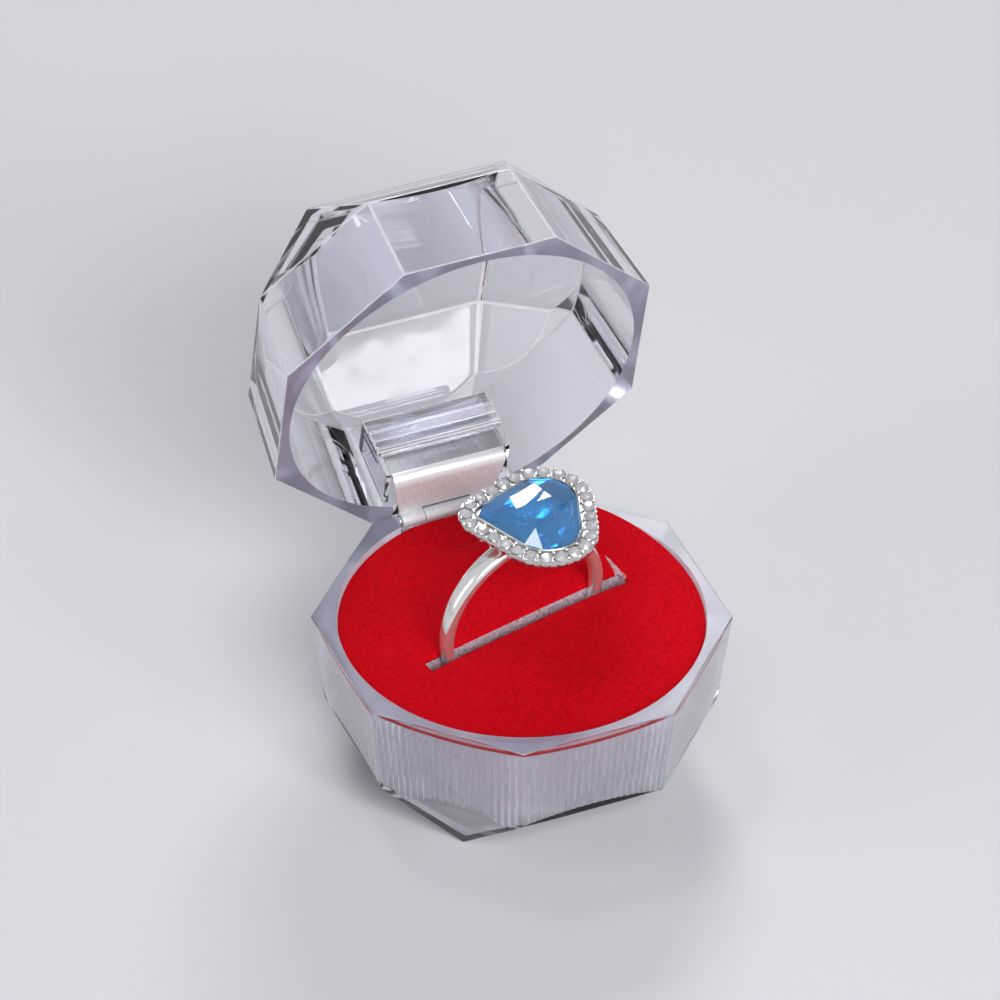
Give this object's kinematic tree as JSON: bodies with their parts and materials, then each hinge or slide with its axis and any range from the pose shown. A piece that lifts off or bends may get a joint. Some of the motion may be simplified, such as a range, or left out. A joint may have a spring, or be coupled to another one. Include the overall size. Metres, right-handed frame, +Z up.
{
  "type": "ring display box",
  "caption": "Clear octagonal faceted ring box standing open on its sheet hinge, with a slotted flocked pad and a halo ring in the slot.",
  "frame": {"origin": "centre of the box's flat square foot, on the surface it stands on", "axes": "+Z up; +Y towards the hinge, so -Y is the side the box opens to; +X to the right as seen from the front"},
  "size_m": [0.04, 0.0563, 0.0577],
  "materials": {
    "clear_plastic": "clear moulded plastic, faintly lavender, polished facets",
    "steel_sheet": "thin brushed sheet",
    "steel_pin": "plain wire",
    "card": "white card",
    "foam": "soft white foam",
    "flock": "red flocked velvet",
    "silver": "polished silver",
    "blue_stone": "faceted blue stone",
    "clear_stone": "faceted clear stones"
  },
  "bodies": {
    "base": {"base_shell": "clear_plastic", "base_hinge_leaf": "steel_sheet", "hinge_pin": "steel_pin", "pad_board": "card", "pad_foam": "foam", "pad_cover": "flock"},
    "lid": {"lid_shell": "clear_plastic", "lid_hinge_leaf": "steel_sheet"},
    "ring": {"ring_band": "silver", "ring_head": "silver", "ring_bezel": "silver", "ring_middle_stone": "blue_stone", "ring_halo_stones": "clear_stone", "ring_halo_beads": "silver"}
  },
  "joints": [
    {"name": "lid_hinge", "type": "hinge", "parent": "base", "child": "lid", "pos_m": [0, 0.01975, 0.0175], "axis": [1, 0, 0], "range_deg": [0, 77]},
    {"name": "ring_lift", "type": "slide", "parent": "base", "child": "ring", "axis": [0, 0, 1], "range_m": [0, 0.0022]}
  ]
}
